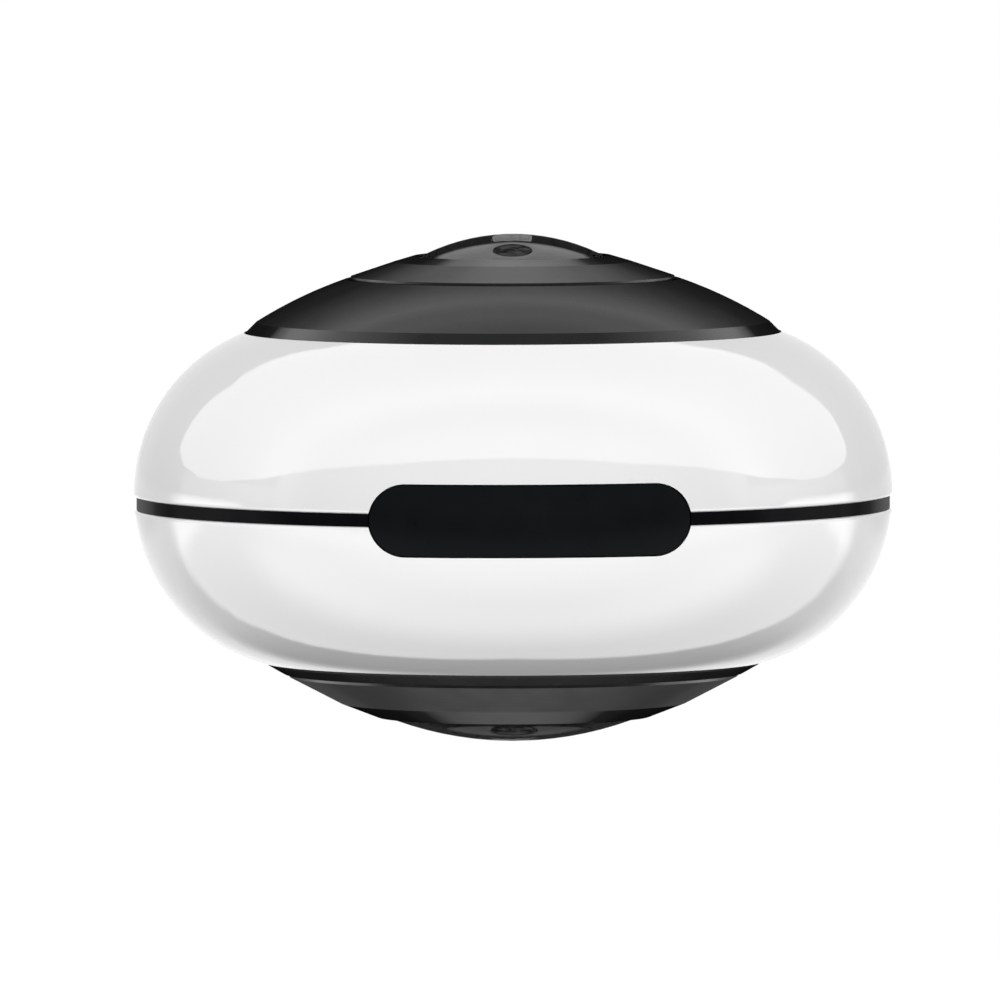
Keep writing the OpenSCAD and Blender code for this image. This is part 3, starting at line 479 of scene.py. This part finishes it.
def hide_from(obj, rays):
    for ray in rays:
        setattr(obj, "visible_" + ray, False)


def stage_object(name, mesh, material, hidden):
    obj = bpy.data.objects.new(name, mesh)
    scene.collection.objects.link(obj)
    mesh.materials.append(material)
    hide_from(obj, hidden)
    return obj


def face_photo(obj):
    """Sets a piece of the studio round the optical axis, turned as the photograph is."""
    obj.location = AXIS
    obj.rotation_euler = (0, 0, -TURN)


def disc_mesh(name, radius, sides=96):
    mesh = bpy.data.meshes.new(name)
    ring = [(*around(radius, i, sides), 0) for i in range(sides)]
    mesh.from_pydata(ring, [], [list(range(sides))])
    return mesh


def ball_mesh(name, radius, rows=48, sides=96):
    points = [(0, 0, radius)]
    for row in range(1, rows):
        angle = math.pi * row / rows
        for i in range(sides):
            points.append((*around(radius * math.sin(angle), i, sides), radius * math.cos(angle)))
    points.append((0, 0, -radius))
    foot = len(points) - 1
    faces = []
    for i in range(sides):
        j = (i + 1) % sides
        faces.append((0, 1 + i, 1 + j))
        faces.append((foot, foot - sides + j, foot - sides + i))
        for row in range(rows - 2):
            first, second = 1 + row * sides, 1 + (row + 1) * sides
            faces.append((first + i, second + i, second + j, first + j))
    mesh = bpy.data.meshes.new(name)
    mesh.from_pydata(points, [], faces)
    return mesh


# Floor: pale and matt, see-through from underneath; from above it is lifted to white where no shadow falls
FLOOR_R, FLOOR_Z = 0.3, -0.045
FLOOR_GREY, FLOOR_LIFT = (0.8, 0.8, 0.8, 1), 0.56
paint, net = new_material("floor_paint")
matt = net.matt(FLOOR_GREY)
path = net.add("ShaderNodeLightPath").outputs
seen = net.math("MAXIMUM", path["Is Camera Ray"], path["Is Transmission Ray"])
top_side = net.blend(seen, matt, net.sum_of(matt, net.glow(FLOOR_LIFT)))
underneath = net.add("ShaderNodeNewGeometry").outputs["Backfacing"]
net.out(net.blend(underneath, top_side, net.clear()))
floor = stage_object("floor", disc_mesh("floor", FLOOR_R), paint, ["glossy", "diffuse"])
floor.location = (AXIS.x, AXIS.y, FLOOR_Z)

# World: white to the eye, in gloss and through glass; for matt surfaces a softer sky, darker below
SKY_EDGE = (-0.15, 0.15)
SKY_BELOW, SKY_ABOVE = 0.08, 0.55
scene.world = bpy.data.worlds.new("studio")
scene.world.use_nodes = True
net = Net(scene.world.node_tree)
path = net.add("ShaderNodeLightPath").outputs
seen = net.math("MAXIMUM", path["Is Camera Ray"], path["Is Glossy Ray"])
seen = net.math("MAXIMUM", seen, path["Is Transmission Ray"])
toward = net.add("ShaderNodeTexCoord").outputs["Generated"]
height = net.add("ShaderNodeSeparateXYZ", {0: toward}).outputs[2]
sky = net.between(net.step(height, *SKY_EDGE), SKY_BELOW, SKY_ABOVE, (0, 1))
fill = net.add("ShaderNodeBackground", {"Color": WHITE, "Strength": sky}).outputs[0]
white = net.add("ShaderNodeBackground", {"Color": WHITE, "Strength": 1.0}).outputs[0]
net.out(net.blend(seen, fill, white), "ShaderNodeOutputWorld")

# Light tent, seen in gloss only: a surround from the sides to the back, a soft box overhead, a bright table
# below, a wall at the front and low walls at the sides. Along and across are how far a direction leans to
# the back and to a side for its height; face is 1 at the front and -1 at the back. A pair of numbers is a
# soft edge. A flare bends an edge towards the sides.
TENT_R = 0.6
TENT_BASE = 0.05
LEAST = 0.001
HORIZON = (-0.01, 0.01)
BOX_FRONT, BOX_BACK, BOX_SIDE, BOX_NEAR = (-1.6, -1.5), (1.14, 1.24), (6.6, 7.4), (-1.0, 0.2)
BACK_FLARE = [(1.0, 0.62), (3.4, -0.35), (5.0, -0.5)]
FRONT_FLARE = [(1.2, 0.28), (4.5, 0.4)]
TABLE_FRONT, TABLE_SLANT = (-3.5, -2.0), 0.5
TABLE_BACK, TABLE_BLUR = (0.5, 0.62), [(0.7, 0.3)]
NEAR_SIDE, NEAR_WIDE, NEAR_BACK = (0.4, 4.4), (-1.8, 0.2), (-0.2, 0.4)
SURROUND_FRONT = (-0.3, -0.05)
LOW_BACK, LOW_FAR, LOW_FAR_LOSS = (1.4, 2.4), (3.5, 7.0), 0.35
LOW_SIDE_IN, LOW_SIDE_OUT = (0.3, 1.0), (1.8, 4.0)
WALL_FOOT, WALL_HEAD = (-0.03, -0.01), (0.075, 0.095)
FRONT_FACE, BACK_FACE = (0.22, 0.26), (-0.52, -0.48)

cloth, net = new_material("tent_cloth")
side_x, deep_y, high_z = net.add("ShaderNodeSeparateXYZ", {0: net.place()}).outputs
away = net.math("MAXIMUM", net.math("ABSOLUTE", high_z), LEAST)
across = net.math("ABSOLUTE", net.math("DIVIDE", side_x, away))
along = net.math("DIVIDE", deep_y, away)
level_reach = net.math("SQRT", net.total(net.product(side_x, side_x), net.product(deep_y, deep_y)))
face = net.math("DIVIDE", net.product(deep_y, -1.0), net.math("MAXIMUM", level_reach, LEAST))
is_up = net.step(high_z, *HORIZON)
is_down = net.invert(is_up)

back_edge = net.math("SUBTRACT", along, net.bend(across, BACK_FLARE))
front_edge = net.math("SUBTRACT", along, net.bend(across, FRONT_FLARE))
box_depth = net.product(net.step(front_edge, *BOX_FRONT), net.fall(back_edge, *BOX_BACK))
box = net.product(is_up, box_depth, net.fall(across, *BOX_SIDE))
box_front = net.product(box, net.fall(along, *BOX_NEAR))

table_edge = net.math("SUBTRACT", along, net.product(across, TABLE_SLANT))
table_end = net.total(TABLE_BACK[1], net.bend(across, TABLE_BLUR))
table_depth = net.product(net.fall(table_edge, TABLE_BACK[0], table_end), net.step(along, *TABLE_FRONT))
table = net.product(is_down, table_depth)
near_width = net.math("MAXIMUM", net.fall(across, *NEAR_SIDE), net.fall(along, *NEAR_WIDE))
near = net.product(table, near_width, net.fall(along, *NEAR_BACK))

surround = net.step(deep_y, *SURROUND_FRONT)
far_loss = net.product(net.step(along, *LOW_FAR), LOW_FAR_LOSS)
low_back = net.product(is_down, net.step(along, *LOW_BACK), net.invert(far_loss))
gap = net.product(is_down, surround, net.invert(table), net.invert(low_back))
low_side = net.product(gap, net.step(across, *LOW_SIDE_IN), net.fall(across, *LOW_SIDE_OUT))

wall = net.product(net.step(high_z, *WALL_FOOT), net.invert(box))
front_wall = net.product(wall, net.step(face, *FRONT_FACE))
side_face = net.product(net.step(face, *BACK_FACE), net.fall(face, *FRONT_FACE))
side_wall = net.product(wall, net.fall(high_z, *WALL_HEAD), side_face)

tent_levels = [
    (surround, 0.45),
    (net.product(is_up, surround), 0.45),
    (low_back, 0.86),
    (low_side, 0.62),
    (front_wall, 0.62),
    (side_wall, 0.3),
    (box, 1.05),
    (box_front, 0.55),
    (table, 1.65),
    (near, 0.85),
]
net.out(net.glow(net.total(TENT_BASE, *[net.product(zone, level) for zone, level in tent_levels])))
face_photo(stage_object("light_tent", ball_mesh("light_tent", TENT_R), cloth, GLOSS_ONLY))


# Lens cards

CARD_REACH, CARD_ROWS = 0.55, 12


def lens_card(name, node, side, level, low, high, widen, start):
    """Bright card behind the object, from low to high, that shows in the named lens alone.

    Its width grows by widen from the height start on. Other pieces see the tent through it.
    """
    points = []
    for row in range(CARD_ROWS + 1):
        z = low + (high - low) * row / CARD_ROWS
        turn = widen * (z - start)
        deep = math.sqrt((CARD_REACH ** 2 - z ** 2) / (1 + turn ** 2))
        points += [(turn * deep * edge, deep, side * z) for edge in (-1, 1)]
    mesh = bpy.data.meshes.new(name)
    faces = [(2 * row, 2 * row + 1, 2 * row + 3, 2 * row + 2) for row in range(CARD_ROWS)]
    mesh.from_pydata(points, [], faces)
    lit, net = new_material(name)
    net.out(net.sum_of(net.glow(level), net.clear()))
    card = stage_object(name, mesh, lit, GLOSS_ONLY)
    face_photo(card)
    card.light_linking.receiver_collection = bpy.data.collections.new(name)
    card.light_linking.receiver_collection.objects.link(frame["nodes"][node])


lens_card(
    "upper_lens_card", "upper_front_lens", 1, level=11.6, low=0.06, high=0.27, widen=0.22, start=0
)
lens_card(
    "lower_lens_card", "lower_front_lens", -1, level=5.5, low=0.032, high=0.17, widen=0.134, start=0.028
)


# Lamps

LAMP_DISTANCE = 1.6
KEY_SIZE, FILL_SIZE = (1.4, 0.4), (1.2, 0.6)


def soft_box(name, azimuth, elevation, size, watts):
    """Large area lamp aimed at the object; azimuth is counted from the front towards the right."""
    lamp = bpy.data.lights.new(name, "AREA")
    lamp.shape = "RECTANGLE"
    lamp.size, lamp.size_y = size
    lamp.energy = watts
    obj = bpy.data.objects.new(name, lamp)
    turn, rise = math.radians(azimuth), math.radians(elevation)
    way = Vector((math.sin(turn) * math.cos(rise), -math.cos(turn) * math.cos(rise), math.sin(rise)))
    obj.location = AXIS + way * LAMP_DISTANCE
    obj.rotation_euler = way.to_track_quat("Z", "Y").to_euler()
    hide_from(obj, ("camera", "glossy", "transmission"))
    scene.collection.objects.link(obj)


soft_box("key_front", 0, -2, KEY_SIZE, 16.8)
soft_box("key_back", 180, 8, KEY_SIZE, 10.5)
soft_box("fill_left", -88, 5, FILL_SIZE, 3.5)
soft_box("fill_right", 88, 5, FILL_SIZE, 3.5)


# Camera: AXIS_AT is where the photograph shows the foot of the axis, in its pixels

PHOTO_SIZE = 1000
PIXEL = 0.0562 * MM
AXIS_AT = (513.2, 501.7)
DISTANCE = 2.2
ELEVATION, ROLL = math.radians(3.0), math.radians(-0.15)
SENSOR = 36
CLIP = (0.01, 20)
level_part = math.cos(ELEVATION)
way = Vector((-math.sin(TURN) * level_part, -math.cos(TURN) * level_part, math.sin(ELEVATION)))
turned_to = way.to_track_quat("Z", "Y") @ Quaternion((0, 0, 1), ROLL)
right, up = turned_to @ Vector((1, 0, 0)), turned_to @ Vector((0, 1, 0))
middle = PHOTO_SIZE / 2
aim = AXIS - right * (AXIS_AT[0] - middle) * PIXEL + up * (AXIS_AT[1] - middle) * PIXEL
optics = bpy.data.cameras.new("camera")
optics.sensor_width = SENSOR
optics.lens = SENSOR * DISTANCE / (PHOTO_SIZE * PIXEL)
optics.clip_start, optics.clip_end = CLIP
camera = bpy.data.objects.new("camera", optics)
camera.location = aim + way * DISTANCE
camera.rotation_euler = turned_to.to_euler()
scene.collection.objects.link(camera)
scene.camera = camera
